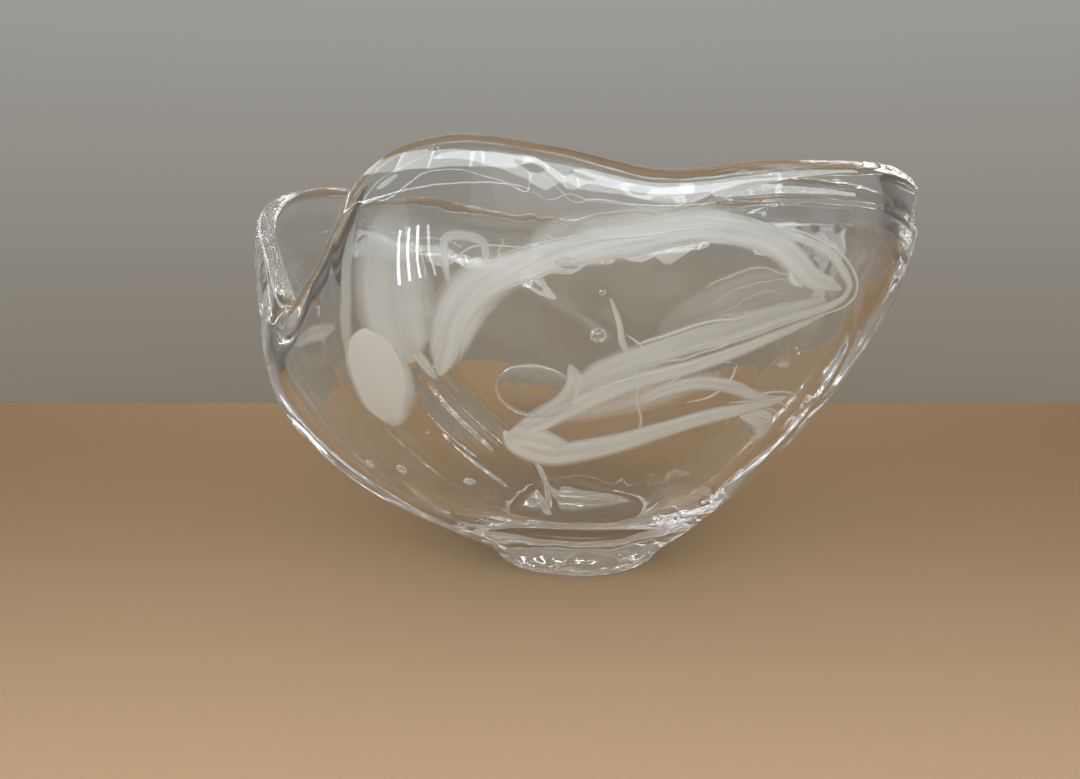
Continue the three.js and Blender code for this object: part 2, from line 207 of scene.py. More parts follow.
# Air bubbles: azimuth, climb, half length, half height, half thickness.
BUBBLES = [
    (258.5, 0.592, 8.2, 6.6, 0.9),
    (272.0, 0.71, 1.7, 1.6, 1.2),
    (272.5, 0.787, 0.7, 0.7, 0.6),
    (266.0, 0.827, 2.5, 1.2, 1.0),
    (209.5, 0.425, 1.5, 1.4, 1.2),
    (200.0, 0.463, 1.3, 1.3, 1.1),
    (235.8, 0.63, 0.8, 0.8, 0.7),
    (233.0, 0.372, 1.7, 1.0, 0.9),
    (258.6, 0.842, 0.6, 0.5, 0.5),
    (216.0, 0.66, 0.4, 0.4, 0.4),
    (227.0, 0.5, 0.5, 0.5, 0.4),
    (318.0, 0.66, 0.5, 0.4, 0.4),
    (317.0, 0.67, 0.35, 0.35, 0.3),
]
# A bubble with a half length over this is meshed more finely: rows and sides.
LARGE_BUBBLE = 4
LARGE_BUBBLE_GRID = (28, 64)
SMALL_BUBBLE_GRID = (12, 24)


# ---- mesh helpers -----------------------------------------------------------------------------------

def ring_faces(rings, sides, first_tip, last_tip, start=0):
    """Faces of a tube of rings whose vertices begin at `start`, closed by one vertex at each end."""
    def at(ring, side):
        return start + ring * sides + side % sides
    faces = [(at(r, s), at(r, s + 1), at(r + 1, s + 1), at(r + 1, s))
             for r in range(rings - 1) for s in range(sides)]
    faces += [(first_tip, at(0, s + 1), at(0, s)) for s in range(sides)]
    faces += [(last_tip, at(rings - 1, s), at(rings - 1, s + 1)) for s in range(sides)]
    return faces


def make_object(name, points_mm, faces):
    """A smooth mesh object in the scene, from points in mm."""
    mesh = bpy.data.meshes.new(name)
    mesh.from_pydata((np.asarray(points_mm) * MM).tolist(), [], faces)
    mesh.polygons.foreach_set("use_smooth", [True] * len(mesh.polygons))
    mesh.update()
    made = bpy.data.objects.new(name, mesh)
    bpy.context.scene.collection.objects.link(made)
    return made


def wobble(points, grain, seed):
    """Smooth noise between -1 and 1 at each point, with lumps about `grain` mm across."""
    shift = Vector((seed * 7.3, seed * 3.1, seed * 5.7))
    return np.array([noise.noise(Vector(p) / grain + shift) for p in points])


# ---- the clear glass --------------------------------------------------------------------------------

def bezier(handles, shares):
    """Points on a cubic Bezier curve with the given four handles, one row per share."""
    t = np.asarray(shares)[:, None, None]
    a, b, c, d = handles
    return (1 - t) ** 3 * a + 3 * t * (1 - t) ** 2 * b + 3 * t * t * (1 - t) * c + t ** 3 * d


def foot_profiles(azimuth):
    """The foot from near its centre underneath, round its edge and up a cove to the wall."""
    edge_middle = FOOT_RADIUS - FOOT_EDGE_ROUND
    under = [(edge_middle * share, FOOT_HOLLOW * (1 - share ** 2)) for share in FOOT_RINGS]
    edge = [(edge_middle + FOOT_EDGE_ROUND * math.sin(turn), FOOT_EDGE_ROUND * (1 - math.cos(turn)))
            for turn in np.linspace(0, math.pi / 2, FOOT_EDGE_STEPS)]
    profiles = [np.broadcast_to(np.array(point), (len(azimuth), 2)) for point in under + edge]
    top = wall_profile(azimuth, COVE_CLIMB)
    slope = wall_profile(azimuth, COVE_CLIMB + SLOPE_NUDGE) - top
    slope /= np.linalg.norm(slope, axis=1, keepdims=True)
    low = np.broadcast_to(np.array([FOOT_RADIUS, FOOT_EDGE_ROUND]), top.shape)
    handles = (low, low + COVE_LOW_REACH, top - COVE_HIGH_REACH * slope, top)
    return profiles + list(bezier(handles, np.linspace(0.12, 0.95, COVE_STEPS)))


def floor_profiles(azimuth):
    """The bowl's inside from the bottom of its wall, in one soft sweep, to near the floor's middle."""
    top = wall_profile(azimuth, FLOOR_CLIMB, wall_thickness(FLOOR_CLIMB))
    higher = FLOOR_CLIMB + SLOPE_NUDGE
    slope = top - wall_profile(azimuth, higher, wall_thickness(higher))
    slope /= -slope[:, 1:]
    corner = top + slope * (top[:, 1:] - FLOOR_HEIGHT)
    middle = np.broadcast_to(np.array([0, FLOOR_HEIGHT]), top.shape)
    handles = (top, (top + 2 * corner) / 3, (middle + 2 * corner) / 3, middle)
    return list(bezier(handles, np.linspace(0.06, 0.96, FLOOR_STEPS)))


def glass_profile_rings():
    """Rings of the fused clear glass, from under the foot over the lip to the middle of the floor, and
    the number of them that lie outside."""
    azimuth = np.arange(AZIMUTH_STEPS) * 360 / AZIMUTH_STEPS
    outer_climbs = np.linspace(COVE_CLIMB, 1, WALL_STEPS)
    profiles = foot_profiles(azimuth) + [wall_profile(azimuth, climb) for climb in outer_climbs]
    half = wall_thickness(1) / 2
    swings = np.linspace(0, math.pi, LIP_STEPS + 1)[1:-1]
    outside = len(profiles) + len(swings) // 2
    profiles += [wall_profile(azimuth, 1.0, half * (1 - math.cos(swing)), half * math.sin(swing))
                 for swing in swings]
    profiles += [wall_profile(azimuth, climb, wall_thickness(climb))
                 for climb in np.linspace(1, FLOOR_CLIMB, WALL_STEPS)]
    profiles += floor_profiles(azimuth)
    return [in_space(azimuth, profile) for profile in profiles], outside


def route_on_wall(route, depth_share, steps=80):
    """Points in mm along a route of [azimuth, climb] stops, at a share of the wall's thickness."""
    stops = smooth_route(route, np.linspace(0, 1, steps))
    return wall_point(stops[:, 0], stops[:, 1], depth_share * wall_thickness(stops[:, 1]))


def ridge(points, route, depth_share, width, height):
    """Height at each point of a soft ridge that follows a route on the wall and fades at its ends."""
    line = route_on_wall(route, depth_share)
    fade = np.sin(np.linspace(0, math.pi, len(line))) ** 0.5
    raised = np.zeros(len(points))
    for place, strength in zip(line, fade):
        gap = ((points - place) ** 2).sum(1)
        raised = np.maximum(raised, strength * np.exp(-gap / width ** 2))
    return raised * height


def outward_directions(rings):
    """The surface's unit normal at every ring point."""
    grid = np.stack(rings)
    along = np.roll(grid, -1, axis=1) - np.roll(grid, 1, axis=1)
    upward = np.gradient(grid, axis=0)
    across = np.cross(along, upward)
    return (across / (np.linalg.norm(across, axis=-1, keepdims=True) + 1e-9)).reshape(-1, 3)


def bubble_mesh(azimuth, climb, half_length, half_height, half_thickness, first):
    """An air bubble in the wall: an ellipsoid whose faces look into the air, indexed from `first`."""
    rows, sides = LARGE_BUBBLE_GRID if half_length > LARGE_BUBBLE else SMALL_BUBBLE_GRID
    depth = layer_depth(climb)
    middle = wall_point(azimuth, climb, depth)
    east = wall_point(azimuth + AZIMUTH_NUDGE, climb, depth) - middle
    east /= np.linalg.norm(east)
    inward = np.cross(east, wall_point(azimuth, climb + CLIMB_NUDGE, depth) - middle)
    inward /= np.linalg.norm(inward)
    up = np.cross(inward, east)
    swing, turn = np.meshgrid(np.arange(1, rows) * math.pi / rows,
                              np.arange(sides) * 2 * math.pi / sides, indexing="ij")
    local = np.stack([half_length * np.sin(swing) * np.cos(turn),
                      half_height * np.sin(swing) * np.sin(turn),
                      half_thickness * np.cos(swing)], -1).reshape(-1, 3)
    local = np.concatenate([local, [[0, 0, half_thickness], [0, 0, -half_thickness]]])
    points = middle + local @ np.stack([east, up, inward])
    count = first + (rows - 1) * sides
    return points, ring_faces(rows - 1, sides, count, count + 1, first)


def surface_swell(points, is_outer):
    """How far each point of the clear glass stands out from the true curve: the hand-worked lumps, the
    cords and the tool marks.  It fades to nothing where the foot meets the table."""
    y, z = points[:, 1:].T
    swell = np.where(is_outer, OUTER_SWELL * wobble(points, OUTER_LUMP, 1),
                     INNER_SWELL * wobble(points, INNER_LUMP, 2))
    near_foot = is_outer * np.clip((FOOT_SWELL_TOP - z) / FOOT_SWELL_FADE, 0, 1)
    swell += near_foot * FOOT_SWELL * wobble(points, FOOT_LUMP, 3)
    at_back = ~is_outer * np.clip(y / BACK_SWELL_FADE, 0, 1)
    swell += at_back * BACK_SWELL * wobble(points, BACK_LUMP, 4)
    for route, width, height in OUTER_CORDS:
        swell += is_outer * ridge(points, route, 0, width, height)
    for route, width, height in INNER_CORDS:
        swell += ~is_outer * ridge(points, route, 1, width, height)
    return swell * np.clip(z / FOOT_EDGE_ROUND, 0, 1)


def untwisted(points):
    """Where each point lay before the glass was twisted and drawn up.  Noise laid out in these
    coordinates runs up the wall in long, slowly turning lines."""
    x, y, z = points.T
    turn = TWIST * z
    return np.stack([x * np.cos(turn) - y * np.sin(turn),
                     x * np.sin(turn) + y * np.cos(turn), UPWARD_SHARE * z], -1)


def add_attribute(made, name, values):
    """Give every point of a mesh a named number or, where the values have three columns, a vector."""
    kind, field = ("FLOAT_VECTOR", "vector") if values.ndim == 2 else ("FLOAT", "value")
    layer = made.data.attributes.new(name, kind, "POINT")
    layer.data.foreach_set(field, values.ravel())


def make_glass_body():
    """The outer wall, lip, inner wall, floor and foot as one fused body, with its air bubbles."""
    rings, outside = glass_profile_rings()
    points = np.concatenate(rings)
    is_outer = np.arange(len(points)) < outside * AZIMUTH_STEPS
    points = points + outward_directions(rings) * surface_swell(points, is_outer)[:, None]
    tips = np.array([[0, 0, FOOT_HOLLOW], [0, 0, points[-AZIMUTH_STEPS:, 2].mean()]])
    count = len(points)
    faces = ring_faces(len(rings), AZIMUTH_STEPS, count, count + 1)
    parts = [points, tips]
    count += len(tips)
    for bubble in BUBBLES:
        bubble_points, bubble_faces = bubble_mesh(*bubble, count)
        parts.append(bubble_points)
        faces += bubble_faces
        count += len(bubble_points)
    made = make_object("clear_glass_body", np.concatenate(parts), faces)
    sweep = np.zeros((count, 3))
    sweep[:len(points)] = untwisted(points)
    add_attribute(made, "sweep", sweep)
    return made


# ---- materials --------------------------------------------------------------------------------------

CLEAR_TINT = (0.985, 0.995, 0.99)
GLASS_IOR = 1.5
CLEAR_ROUGHNESS = 0.02
HAZE_SCALE = 60
FLOW_LINE_SCALE = 0.2
FLOW_LINE_STRENGTH = 0.015
# How much soft light each face of the clear glass lets through, at the foot and above the heavy glass.
LIGHT_THROUGH_FOOT = 0.6
LIGHT_THROUGH_WALL = 0.91
HEAVY_GLASS_TOP = 0.036

ENAMEL_WHITE = (0.86, 0.91, 0.93)
ENAMEL_PALE = (0.84, 0.89, 0.91)
# Flow lines in the white glass: how often they come along and across it, and how much they thin it.
FLOW_STRETCH = (0.05, 0.8, 0)
FLOW_DENSITY = (0.72, 1.2)
# White glass fades from full to none between these shares of its half width.
EDGE_FADE = (0.2, 0.78)

TABLE_COLOUR = (0.61, 0.428, 0.268)
MATT = 0.6


def new_material(name):
    """A material with an empty node tree, and the tree."""
    material = bpy.data.materials.new(name)
    material.use_nodes = True
    tree = material.node_tree
    tree.nodes.clear()
    return material, tree


def node(tree, kind, **settings):
    """A new node of the given kind, with its settings."""
    made = tree.nodes.new(kind)
    for key, value in settings.items():
        setattr(made, key, value)
    return made


def calculate(tree, operation, *values, clamp=False):
    """The result of a Math node, each of whose values is another node's output or a plain number."""
    made = node(tree, "ShaderNodeMath", operation=operation, use_clamp=clamp)
    for value, socket in zip(values, made.inputs):
        if isinstance(value, (int, float)):
            socket.default_value = value
        else:
            tree.links.new(value, socket)
    return made.outputs[0]


def map_range(tree, value, before, after, smooth=False):
    """The value moved from the span `before` to the span `after`, and kept inside it."""
    made = node(tree, "ShaderNodeMapRange", interpolation_type="SMOOTHSTEP" if smooth else "LINEAR")
    for name, end in zip(("From Min", "From Max", "To Min", "To Max"), (*before, *after)):
        made.inputs[name].default_value = end
    tree.links.new(value, made.inputs["Value"])
    return made.outputs["Result"]


def soft_noise(tree, vector, scale, detail, distortion=0.0):
    """Smooth noise from 0 to 1, laid out in the coordinates that the vector gives."""
    made = node(tree, "ShaderNodeTexNoise")
    made.inputs["Scale"].default_value = scale
    made.inputs["Detail"].default_value = detail
    made.inputs["Distortion"].default_value = distortion
    tree.links.new(vector, made.inputs["Vector"])
    return made.outputs["Fac"]


def axes(tree, vector):
    """The X, Y and Z of a vector."""
    made = node(tree, "ShaderNodeSeparateXYZ")
    tree.links.new(vector, made.inputs[0])
    return made.outputs


def pass_soft_light(tree, glass, height):
    """The glass as it is, but see-through for the rays of soft light, so that it reaches the white glass
    and the table.  The heavy glass near the foot lets less of it through."""
    path = node(tree, "ShaderNodeLightPath")
    clear = node(tree, "ShaderNodeBsdfTransparent")
    passed = map_range(tree, height, (0, HEAVY_GLASS_TOP), (LIGHT_THROUGH_FOOT, LIGHT_THROUGH_WALL))
    tree.links.new(passed, clear.inputs["Color"])
    surface = glass
    for kind in ("Is Shadow Ray", "Is Diffuse Ray"):
        pick = node(tree, "ShaderNodeMixShader")
        tree.links.new(path.outputs[kind], pick.inputs[0])
        tree.links.new(surface.outputs[0], pick.inputs[1])
        tree.links.new(clear.outputs[0], pick.inputs[2])
        surface = pick
    return surface


def clear_glass_material():
    """Clear blown glass, with a gloss that isn't quite even and faint flow lines."""
    material, tree = new_material("clear_blown_glass")
    out = node(tree, "ShaderNodeOutputMaterial")
    place = node(tree, "ShaderNodeTexCoord").outputs["Object"]
    sweep = node(tree, "ShaderNodeAttribute", attribute_name="sweep").outputs["Vector"]
    haze = map_range(tree, soft_noise(tree, place, HAZE_SCALE, 3), (0, 1), (0, CLEAR_ROUGHNESS))
    bump = node(tree, "ShaderNodeBump")
    bump.inputs["Strength"].default_value = FLOW_LINE_STRENGTH
    bump.inputs["Distance"].default_value = MM
    tree.links.new(soft_noise(tree, sweep, FLOW_LINE_SCALE, 2), bump.inputs["Height"])
    glass = node(tree, "ShaderNodeBsdfPrincipled")
    glass.inputs["Base Color"].default_value = (*CLEAR_TINT, 1)
    glass.inputs["Transmission Weight"].default_value = 1
    glass.inputs["IOR"].default_value = GLASS_IOR
    tree.links.new(haze, glass.inputs["Roughness"])
    tree.links.new(bump.outputs["Normal"], glass.inputs["Normal"])
    surface = pass_soft_light(tree, glass, axes(tree, place)["Z"])
    tree.links.new(surface.outputs[0], out.inputs["Surface"])
    return material


def plain_material(name, colour):
    """A matt surface of one colour, for the table."""
    material, tree = new_material(name)
    out = node(tree, "ShaderNodeOutputMaterial")
    surface = node(tree, "ShaderNodeBsdfPrincipled")
    surface.inputs["Base Color"].default_value = (*colour, 1)
    surface.inputs["Roughness"].default_value = MATT
    surface.inputs["Specular IOR Level"].default_value = 0
    tree.links.new(surface.outputs[0], out.inputs["Surface"])
    return material


def white_glass_material(name, colour):
    """White enamel glass.  How milky it is and where its flow lines run come from the mesh.  It thins
    out towards the edges of each body and in streaks along the flow."""
    material, tree = new_material(name)
    out = node(tree, "ShaderNodeOutputMaterial")
    flow = node(tree, "ShaderNodeAttribute", attribute_name="flow").outputs["Vector"]
    milkiness = node(tree, "ShaderNodeAttribute", attribute_name="milkiness").outputs["Fac"]
    stretch = node(tree, "ShaderNodeMapping")
    stretch.inputs["Scale"].default_value = FLOW_STRETCH
    tree.links.new(flow, stretch.inputs["Vector"])
    lines = soft_noise(tree, stretch.outputs["Vector"], 1, 3, distortion=0.3)
    streaks = map_range(tree, lines, (0.3, 0.7), FLOW_DENSITY)
    ragged_edge = calculate(tree, "MULTIPLY_ADD", lines, -0.5, axes(tree, flow)["Z"])
    fade = map_range(tree, ragged_edge, EDGE_FADE, (1, 0), smooth=True)
    body = calculate(tree, "MULTIPLY", milkiness, streaks)
    opacity = calculate(tree, "MULTIPLY", body, fade, clamp=True)
    surface = node(tree, "ShaderNodeBsdfPrincipled")
    surface.inputs["Base Color"].default_value = (*colour, 1)
    surface.inputs["Roughness"].default_value = MATT
    surface.inputs["Specular IOR Level"].default_value = 0
    tree.links.new(opacity, surface.inputs["Alpha"])
    tree.links.new(surface.outputs[0], out.inputs["Surface"])
    return material


# ---- white glass ------------------------------------------------------------------------------------

# The higher these are, the blunter a strand's ends are and the rounder its section is.
END_SHARPNESS = 6
FLATNESS = 0.45
# A strand's ragged edges wander in lumps of this many mm.
RAGGED_LUMP = 6
STRAND_STEPS, STRAND_SIDES = 110, 28
THREAD_STEPS, THREAD_SIDES = 60, 10
FILAMENT_STEPS, FILAMENT_SIDES = 70, 8
FILAMENT_STOPS = 18
FILAMENT_HALF_WIDTH = 0.3
FILAMENT_DRIFT = 0.35
FILAMENT_DENSER = 0.15
# A filament is this many times as thick as half its width, and lies this far from mid-strand at most, as
# a share of the strand's thickness.
FILAMENT_THICKNESS = 1.6
FILAMENT_LIFT = 0.4


def smooth_route(route, shares):
    """Points on a Catmull-Rom curve through the stops of a route, at the given shares of its length."""
    stops = np.array(route, float)
    ends = np.concatenate([[2 * stops[0] - stops[1]], stops, [2 * stops[-1] - stops[-2]]])
    place = shares * (len(stops) - 1)
    i = np.clip(place.astype(int), 0, len(stops) - 2)
    t = (place - i)[:, None]
    a, b, c, d = ends[i], ends[i + 1], ends[i + 2], ends[i + 3]
    return 0.5 * (2 * b + (c - a) * t + (2 * a - 5 * b + 4 * c - d) * t ** 2
                  + (3 * b - a - 3 * c + d) * t ** 3)


def sideways_step(azimuth, climb):
    """The change of azimuth and climb that moves one millimetre sideways from a route on the wall."""
    depth = layer_depth(climb)
    here = wall_point(azimuth, climb, depth)
    forward = np.gradient(here, axis=0)
    east = (wall_point(azimuth + AZIMUTH_NUDGE, climb, depth) - here) / AZIMUTH_NUDGE
    up = (wall_point(azimuth, climb + CLIMB_NUDGE, depth) - here) / CLIMB_NUDGE
    side = np.cross(np.cross(east, up), forward)
    side /= np.linalg.norm(side, axis=1, keepdims=True)
    mixed = (east * up).sum(1)
    scale = (east ** 2).sum(1) * (up ** 2).sum(1) - mixed ** 2
    return (((side * east).sum(1) * (up ** 2).sum(1) - (side * up).sum(1) * mixed) / scale,
            ((side * up).sum(1) * (east ** 2).sum(1) - (side * east).sum(1) * mixed) / scale)


def line_noise(run, grain, seed):
    """Smooth noise between -1 and 1 along a line, with lumps about `grain` mm long."""
    return np.array([noise.noise(Vector((r / grain, seed * 1.9, seed * 3.7))) for r in run])


def strand(route, thickness, seed, ragged=0.0, grain=1.0, lift=0.0, steps=STRAND_STEPS,
           sides=STRAND_SIDES):
    """A flat, round-ended body along a route of [azimuth, climb, half width, density] stops: its points,
    their flow coordinates (along, across, share of the half width) and their densities.  A `grain` of 1
    puts a flow line at about every millimetre, and a smaller one makes the glass more even."""
    shares = (1 - np.cos(np.pi * np.arange(1, steps) / steps)) / 2
    azimuth, climb, half_width, density = smooth_route(route, shares).T
    depth = layer_depth(climb) - lift
    azimuth_step, climb_step = sideways_step(azimuth, climb)
    hops = np.linalg.norm(np.diff(wall_point(azimuth, climb, depth), axis=0), axis=1)
    run = np.concatenate([[0], np.cumsum(hops)])
    roundness = np.sqrt(1 - np.abs(2 * shares - 1) ** END_SHARPNESS)
    left_edge = line_noise(run, RAGGED_LUMP, seed + 0.3)
    right_edge = line_noise(run, RAGGED_LUMP, seed + 0.7)
    rings = []
    flow = []
    for swing in np.linspace(0, 2 * np.pi, sides, endpoint=False):
        across = math.cos(swing)
        wander = ragged * np.where(across > 0, right_edge, left_edge)
        side = half_width * roundness * across * (1 + wander)
        height = math.copysign(abs(math.sin(swing)) ** FLATNESS, math.sin(swing))
        thick = thickness / 2 * roundness * height
        rings.append(wall_point(azimuth + side * azimuth_step, climb + side * climb_step, depth - thick))
        flow.append(np.stack([grain * run, grain * side, np.full_like(run, abs(across))], -1))
    tips = [np.mean([ring[end] for ring in rings], axis=0) for end in (0, -1)]
    points = np.concatenate([np.stack(rings, 1).reshape(-1, 3), tips])
    flow = np.concatenate([np.stack(flow, 1).reshape(-1, 3), [[0, 0, 0], [run[-1], 0, 0]]])
    return points, flow, np.concatenate([np.repeat(density, sides), density[[0, -1]]]), steps - 1, sides


def side_route(route, offset, half_width, seed):
    """A finer, denser route along a wide one, `offset` being its place as a share of the half width."""
    # It starts and ends at places of its own, and always covers the middle of the wide route.
    start, end = sorted(0.5 + 0.5 * line_noise([seed, seed + 7.5], 1.3, seed))
    start, end = min(start, 0.3) + 0.02, max(end, 0.7) - 0.02
    azimuth, climb, wide, density = smooth_route(route, np.linspace(start, end, FILAMENT_STOPS)).T
    azimuth_step, climb_step = sideways_step(azimuth, climb)
    stops = np.arange(FILAMENT_STOPS)
    side = wide * np.clip(offset + FILAMENT_DRIFT * line_noise(stops, 5, seed), -1.05, 1.05)
    width = half_width * (1 + 0.5 * line_noise(stops, 3, seed + 5))
    return np.stack([azimuth + side * azimuth_step, climb + side * climb_step, width,
                     density + FILAMENT_DENSER], -1)


def filament(route, thickness, offset, seed):
    """A fine strand drawn out along a wider one."""
    half_width = FILAMENT_HALF_WIDTH * (1 + 0.5 * math.sin(5 * seed))
    fine = side_route(route, offset, half_width, seed)
    lift = FILAMENT_LIFT * thickness * math.sin(9 * seed)
    return strand(fine, FILAMENT_THICKNESS * half_width, seed, lift=lift, steps=FILAMENT_STEPS,
                  sides=FILAMENT_SIDES)


def make_trail(name, seed):
    """One trail of white glass: its bodies, the filaments drawn out along them and its loose threads."""
    pieces = []
    for i, (thickness, ragged, grain, filaments, route) in enumerate(TRAILS[name]):
        pieces.append(strand(route, thickness, seed + 0.1 * i, ragged, grain))
        for k in range(filaments):
            offset = -1 + 2 * (k + 0.5) / filaments
            pieces.append(filament(route, thickness, offset, 10 * seed + k + 0.37))
    for k, route in enumerate(THREADS.get(name, [])):
        thickness = 2 * route[1][2]
        pieces.append(strand(route, thickness, seed + 0.2 * k, steps=THREAD_STEPS, sides=THREAD_SIDES))
    points, flow, density, faces = [], [], [], []
    count = 0
    for strand_points, strand_flow, strand_density, rings, sides in pieces:
        tips = count + rings * sides
        faces += ring_faces(rings, sides, tips, tips + 1, count)
        points.append(strand_points)
        flow.append(strand_flow)
        density.append(strand_density)
        count += len(strand_points)
    made = make_object(name + "_glass", np.concatenate(points), faces)
    add_attribute(made, "flow", np.concatenate(flow))
    add_attribute(made, "milkiness", np.concatenate(density))
    return made


# Each trail's bodies: thickness, how ragged its edges are, how streaky it is, its number of filaments
# and its route of [azimuth, climb, half width, density].  Widths and thicknesses are in mm.
TRAILS = {
    "white_drop": [
        (1.0, 0.04, 0.1, 0, [(222, 0.724, 6.2, 2), (221, 0.688, 9.4, 2), (220, 0.645, 10.2, 1.8),
                             (218.5, 0.6, 8.8, 1.5), (217.5, 0.562, 6.6, 1.2), (216.5, 0.53, 3.6, 0.8)]),
    ],
    "white_veil": [
        (0.7, 0.06, 0.15, 0, [(233, 0.93, 5, 0), (231, 0.87, 9, 0.25), (229.5, 0.82, 11.5, 0.5),
                              (228.5, 0.77, 12, 0.65), (228.5, 0.725, 11, 0.75), (229.5, 0.68, 9, 0.75),
                              (231, 0.645, 6, 0.5)]),
        (0.5, 0.2, 1, 0, [(230, 0.69, 1.6, 0.3), (232.5, 0.655, 1.8, 0.6), (234.5, 0.625, 1.5, 0.5),
                          (236, 0.605, 0.8, 0.2)]),
    ],
    "left_streak": [
        (0.7, 0.2, 0.5, 0, [(219.5, 0.93, 1.4, 0.2), (217, 0.87, 2, 0.4), (215.5, 0.8, 2, 0.45),
                            (213.5, 0.735, 1.7, 0.4), (211.5, 0.68, 1, 0.2)]),
    ],
    "left_band": [
        (0.7, 0.2, 0.5, 0, [(197, 0.842, 1.4, 0.2), (202, 0.825, 2, 0.4), (206, 0.805, 2, 0.4),
                            (211, 0.782, 1.3, 0.2)]),
    ],
    "upper_ribbon": [
        (0.9, 0.08, 0.6, 3, [(236.5, 0.615, 2.8, 0.55), (239.5, 0.66, 5.4, 0.65), (242.5, 0.71, 6.6, 0.7),
                             (246.5, 0.753, 6.3, 0.7), (251, 0.782, 5.3, 0.7), (258, 0.815, 4.1, 0.7),
                             (266.5, 0.848, 3.7, 0.7), (277, 0.888, 3.7, 0.75), (288, 0.915, 3.5, 0.8),
                             (298, 0.9, 3.3, 0.8), (306, 0.868, 3.3, 0.8), (311, 0.833, 3.4, 0.8),
                             (315, 0.803, 3.1, 0.75), (320, 0.786, 1.8, 0.6), (323, 0.778, 0.8, 0.4)]),
        (0.5, 0.3, 1, 0, [(258, 0.84, 2, 0.05), (267, 0.87, 5.5, 0.2), (278, 0.9, 6, 0.28),
                          (289, 0.925, 4.5, 0.22), (300, 0.915, 1.5, 0.1)]),
        (0.6, 0.15, 1, 0, [(308, 0.852, 0.8, 0.5), (310, 0.828, 1.5, 0.85), (311, 0.806, 1.9, 0.95),
                           (314, 0.79, 1.2, 0.7)]),
        (0.6, 0.15, 1, 0, [(298, 0.91, 0.5, 0.3), (307, 0.888, 1, 0.6), (316.5, 0.853, 1.2, 0.7),
                           (322, 0.81, 1.2, 0.7), (324.5, 0.782, 1.1, 0.7), (323.3, 0.757, 1.1, 0.7),
                           (317.5, 0.738, 1.2, 0.7), (312.5, 0.728, 1.3, 0.7), (302, 0.703, 1.3, 0.65),
                           (290.5, 0.69, 1.2, 0.6), (280.5, 0.667, 0.9, 0.4)]),
    ],
    "return_band": [
        (0.7, 0.06, 0.7, 4, [(320, 0.758, 2, 0.36), (312.5, 0.743, 3, 0.42), (302.5, 0.725, 3.7, 0.46),
                             (292, 0.708, 4, 0.48), (282.5, 0.68, 4.2, 0.5), (273.5, 0.64, 4.1, 0.5),
                             (267.5, 0.603, 3.2, 0.55)]),
        (0.4, 0.1, 1, 4, [(322, 0.775, 2, 0.1), (313, 0.79, 4.5, 0.16), (302, 0.785, 6, 0.16),
                          (292, 0.76, 5, 0.12), (284, 0.73, 3, 0.06)]),
    ],
    "lower_ribbon": [
        (0.9, 0.06, 0.5, 2, [(249.5, 0.505, 2, 0.8), (252.5, 0.478, 4.2, 0.9), (257.5, 0.462, 4.3, 0.9),
                             (263.5, 0.46, 3.8, 0.9), (274, 0.485, 3.3, 0.85), (286, 0.518, 2.9, 0.85),
                             (298, 0.54, 2.5, 0.85), (309, 0.552, 2.1, 0.85), (318, 0.562, 1.6, 0.8),
                             (321.5, 0.568, 1, 0.6)]),
        (0.8, 0.06, 0.3, 0, [(249.5, 0.495, 1.5, 0.7), (252.5, 0.49, 4.2, 0.95), (256.5, 0.49, 4.8, 0.95),
                             (261.5, 0.482, 3.4, 0.85), (267, 0.478, 1.5, 0.5)]),
    ],
    "middle_ribbon": [
        (0.8, 0.06, 0.6, 2, [(251, 0.497, 2.6, 0.8), (258, 0.522, 2.6, 0.8), (266.5, 0.565, 2.6, 0.75),
                             (275, 0.608, 2.5, 0.75), (283, 0.638, 2.3, 0.7), (293.5, 0.658, 2, 0.65),
                             (304, 0.68, 1.8, 0.6), (314, 0.71, 1.4, 0.55), (321, 0.735, 1, 0.5)]),
        (0.6, 0.1, 0.6, 0, [(266.5, 0.65, 1.5, 0.3), (267.5, 0.615, 2, 0.55), (265, 0.575, 2.4, 0.65),
                            (260, 0.54, 2.8, 0.75), (254, 0.51, 2.4, 0.7)]),
        (0.5, 0.1, 0.8, 0, [(262, 0.535, 1.5, 0.1), (270, 0.567, 3.5, 0.25), (279, 0.597, 4.5, 0.3),
                            (289, 0.615, 4, 0.25), (300, 0.635, 2.5, 0.1)]),
    ],
    "third_ribbon": [
        (0.7, 0.1, 0.6, 2, [(281, 0.585, 1.2, 0.3), (287, 0.612, 1.8, 0.55), (294.5, 0.622, 1.9, 0.7),
                            (303.5, 0.606, 1.9, 0.7), (312, 0.578, 1.6, 0.65), (319.5, 0.565, 1, 0.4)]),
    ],
    "brushed_hook": [
        (0.7, 0.15, 0.8, 4, [(309, 0.55, 1.8, 0.8), (314, 0.535, 2.9, 1.2), (318.5, 0.516, 3.1, 1.4),
                             (320.5, 0.49, 2.3, 1.4), (319, 0.466, 1.2, 1)]),
    ],
    "crossing_strand": [
        (0.5, 0.1, 0.6, 0, [(274, 0.78, 0.5, 0.3), (276, 0.74, 0.7, 0.45), (277, 0.705, 0.9, 0.4),
                            (279, 0.677, 0.9, 0.3)]),
    ],
    "looped_thread": [
        (0.6, 0.1, 0.3, 0, [(243, 0.775, 1.2, 0.3), (242.5, 0.812, 1.2, 0.4), (243, 0.848, 1.2, 0.4),
                            (247, 0.853, 1.2, 0.35), (250.5, 0.843, 1.2, 0.35), (251, 0.815, 1, 0.35),
                            (251.5, 0.795, 1, 0.3)]),
    ],
}

